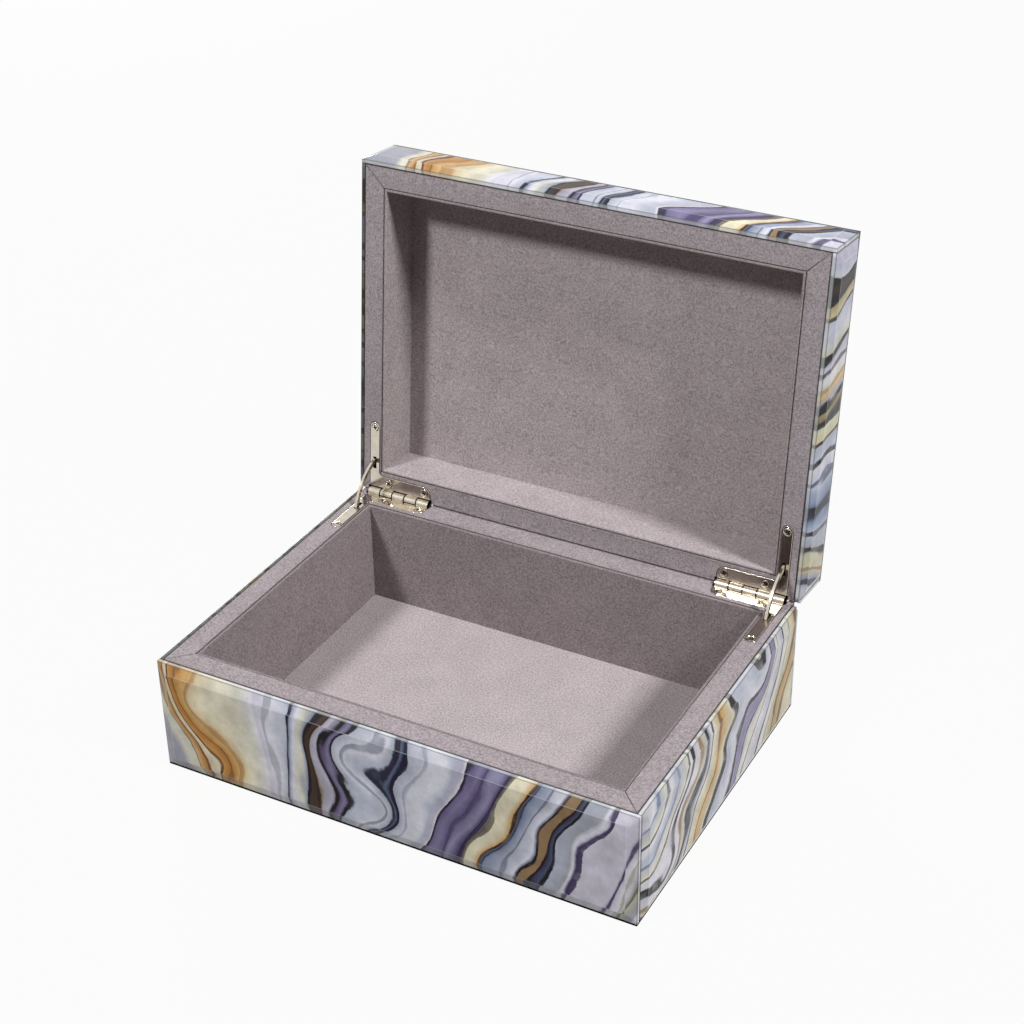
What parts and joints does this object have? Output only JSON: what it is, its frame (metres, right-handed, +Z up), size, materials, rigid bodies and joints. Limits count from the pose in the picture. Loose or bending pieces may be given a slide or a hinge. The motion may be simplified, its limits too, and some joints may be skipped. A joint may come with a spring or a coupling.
{
  "type": "hinged keepsake box",
  "caption": "Rectangular keepsake box clad in bevelled agate-print glass, suede lined, with a hinged lid held open by curved stay arms.",
  "frame": {"origin": "middle of the underside, on the surface the box stands on", "axes": "+X to the right along the width, +Y to the back where the hinges are, +Z up, with the lid open at its stop"},
  "size_m": [0.244, 0.2253, 0.2325],
  "materials": {
    "printed_glass": "polished bevelled glass, back-printed with bands of ochre, violet, slate blue and umber",
    "core_board": "fine fibreboard",
    "suede_lining": "short taupe nap",
    "base_felt": "black felt",
    "polished_nickel": "polished nickel plate"
  },
  "bodies": {
    "base": {"base_back_glass": "printed_glass", "base_back_liner": "suede_lining", "base_back_rim_strip": "suede_lining", "base_back_wall": "core_board", "base_bottom_board": "core_board", "base_floor_lining": "suede_lining", "base_front_glass": "printed_glass", "base_front_liner": "suede_lining", "base_front_rim_strip": "suede_lining", "base_front_wall": "core_board", "base_left_glass": "printed_glass", "base_left_liner": "suede_lining", "base_left_rim_strip": "suede_lining", "base_left_wall": "core_board", "base_right_glass": "printed_glass", "base_right_liner": "suede_lining", "base_right_rim_strip": "suede_lining", "base_right_wall": "core_board", "base_underside_felt": "base_felt", "left_base_leaf_screws": "polished_nickel", "left_hinge_base_leaf": "polished_nickel", "left_hinge_pin": "polished_nickel", "right_base_leaf_screws": "polished_nickel", "right_hinge_base_leaf": "polished_nickel", "right_hinge_pin": "polished_nickel"},
    "lid": {"left_hinge_lid_leaf": "polished_nickel", "left_lid_leaf_screws": "polished_nickel", "lid_back_glass": "printed_glass", "lid_back_liner": "suede_lining", "lid_back_rim_strip": "suede_lining", "lid_back_wall": "core_board", "lid_front_glass": "printed_glass", "lid_front_liner": "suede_lining", "lid_front_rim_strip": "suede_lining", "lid_front_wall": "core_board", "lid_left_glass": "printed_glass", "lid_left_liner": "suede_lining", "lid_left_rim_strip": "suede_lining", "lid_left_wall": "core_board", "lid_recess_lining": "suede_lining", "lid_right_glass": "printed_glass", "lid_right_liner": "suede_lining", "lid_right_rim_strip": "suede_lining", "lid_right_wall": "core_board", "lid_top_board": "core_board", "lid_top_glass": "printed_glass", "right_hinge_lid_leaf": "polished_nickel", "right_lid_leaf_screws": "polished_nickel"},
    "left_stay": {"left_stay_arm": "polished_nickel"},
    "right_stay": {"right_stay_arm": "polished_nickel"}
  },
  "joints": [
    {"name": "lid_hinge", "type": "hinge", "parent": "base", "child": "lid", "pos_m": [0, 0.0863, 0.0587], "axis": [1, 0, 0], "range_deg": [0, 96]},
    {"name": "left_stay_turn", "type": "hinge", "parent": "base", "child": "left_stay", "pos_m": [0, 0.0863, 0.0587], "axis": [1, 0, 0], "range_deg": [0, 48]},
    {"name": "right_stay_turn", "type": "hinge", "parent": "base", "child": "right_stay", "pos_m": [0, 0.0863, 0.0587], "axis": [1, 0, 0], "range_deg": [0, 48]}
  ],
  "couplings": [
    {"joint": "left_stay_turn", "follows": "lid_hinge", "ratio": 0.5},
    {"joint": "right_stay_turn", "follows": "lid_hinge", "ratio": 0.5}
  ]
}
